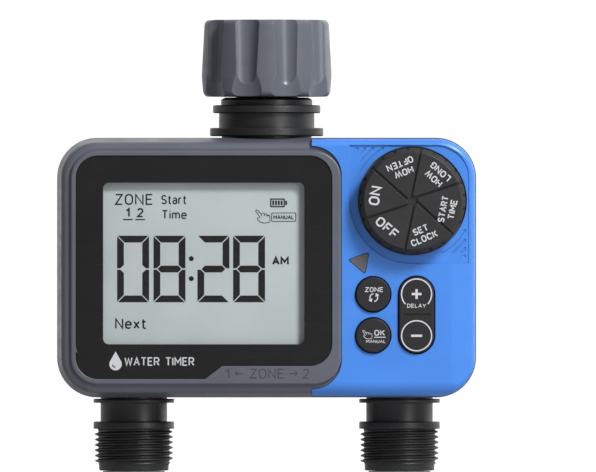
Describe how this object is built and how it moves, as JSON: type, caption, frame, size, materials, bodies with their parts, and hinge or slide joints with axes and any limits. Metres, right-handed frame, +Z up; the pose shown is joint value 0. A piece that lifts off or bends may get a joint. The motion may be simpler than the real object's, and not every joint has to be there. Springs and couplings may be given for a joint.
{
  "type": "drip irrigation timer",
  "caption": "Two-zone drip irrigation timer with a swivel tap inlet, display, mode dial, keys and threaded hose outlets below.",
  "frame": {"origin": "on the inlet's axis, at the mouth of the swivel nut", "axes": "+X to the right of the person who reads the display, +Y away from that person, +Z up towards the tap"},
  "size_m": [0.142, 0.066, 0.1529],
  "materials": {
    "grey_plastic": "fine moulded satin, dark slate grey",
    "dark_grey_plastic": "fine spark-eroded grain, darker slate grey",
    "blue_plastic": "satin, bright blue",
    "black_plastic": "fine grained black",
    "white_plastic": "natural white moulding",
    "window_plastic": "clear acrylic with a black printed border",
    "lcd_glass": "reflective grey liquid crystal panel",
    "rubber": "black elastomer",
    "steel": "plated steel",
    "copper": "enamelled copper wire",
    "board_green": "green solder mask",
    "cell_wrap": "plain printed sleeve"
  },
  "bodies": {
    "housing": {"battery_left": "cell_wrap", "battery_plates": "steel", "battery_right": "cell_wrap", "battery_springs": "steel", "board_chips": "black_plastic", "board_screws": "steel", "bonnet_screws": "steel", "buzzer": "black_plastic", "case_screws": "steel", "contact_strips": "rubber", "dial_pointer": "grey_plastic", "display_window": "window_plastic", "door_gasket": "rubber", "front_housing": "grey_plastic", "housing_gasket": "rubber", "inlet_filter": "white_plastic", "inlet_oring": "rubber", "inlet_spigot": "black_plastic", "inlet_washer": "rubber", "lcd_frame": "white_plastic", "lcd_panel": "lcd_glass", "lead_sockets": "black_plastic", "left_bobbin": "white_plastic", "left_bonnet": "white_plastic", "left_coil": "copper", "left_diaphragm": "rubber", "left_outlet": "black_plastic", "left_outlet_oring": "rubber", "left_plunger_spring": "steel", "left_yoke": "steel", "main_board": "board_green", "rear_housing": "dark_grey_plastic", "right_bobbin": "white_plastic", "right_bonnet": "white_plastic", "right_coil": "copper", "right_diaphragm": "rubber", "right_outlet": "black_plastic", "right_outlet_oring": "rubber", "right_plunger_spring": "steel", "right_yoke": "steel", "selector_switch": "black_plastic", "side_cover": "blue_plastic", "tact_switches": "black_plastic", "water_manifold": "white_plastic"},
    "swivel": {"swivel_nut": "grey_plastic"},
    "dial": {"mode_dial": "black_plastic", "selector_shaft": "steel"},
    "zone_button": {"zone_key": "black_plastic"},
    "ok_button": {"ok_key": "black_plastic"},
    "delay_button": {"delay_rocker": "black_plastic"},
    "left_armature": {"left_plunger": "steel"},
    "right_armature": {"right_plunger": "steel"},
    "door": {"battery_door": "dark_grey_plastic"},
    "door_fastener": {"door_screw": "steel"}
  },
  "joints": [
    {"name": "nut_swivel", "type": "hinge", "parent": "housing", "child": "swivel", "pos_m": [0, 0, -0.013], "axis": [0, 0, 1], "continuous": true},
    {"name": "dial_turn", "type": "hinge", "parent": "housing", "child": "dial", "pos_m": [0.0493, -0.033, -0.0614], "axis": [0, 1, 0], "continuous": true},
    {"name": "zone_press", "type": "slide", "parent": "housing", "child": "zone_button", "axis": [0, 1, 0], "range_m": [0, 0.0007], "stiffness_N_per_m": 500, "springref_m": -0.0008},
    {"name": "ok_press", "type": "slide", "parent": "housing", "child": "ok_button", "axis": [0, 1, 0], "range_m": [0, 0.0007], "stiffness_N_per_m": 500, "springref_m": -0.0008},
    {"name": "delay_tilt", "type": "hinge", "parent": "housing", "child": "delay_button", "pos_m": [0.0507, -0.0249, -0.09995], "axis": [1, 0, 0], "range_deg": [-2.5, 2.5], "stiffness_Nm_per_rad": 0.3},
    {"name": "left_valve_lift", "type": "slide", "parent": "housing", "child": "left_armature", "axis": [0, 0, 1], "range_m": [0, 0.0015], "stiffness_N_per_m": 150, "springref_m": -0.004, "deforming": ["left_plunger_spring", "left_diaphragm"]},
    {"name": "right_valve_lift", "type": "slide", "parent": "housing", "child": "right_armature", "axis": [0, 0, 1], "range_m": [0, 0.0015], "stiffness_N_per_m": 150, "springref_m": -0.004, "deforming": ["right_plunger_spring", "right_diaphragm"]},
    {"name": "door_lift_off", "type": "slide", "parent": "housing", "child": "door", "axis": [0, 1, 0], "range_m": [0, 0.03]},
    {"name": "door_screw_turn", "type": "hinge", "parent": "door", "child": "door_fastener", "pos_m": [0, 0.026, -0.057], "axis": [0, 1, 0], "continuous": true}
  ]
}
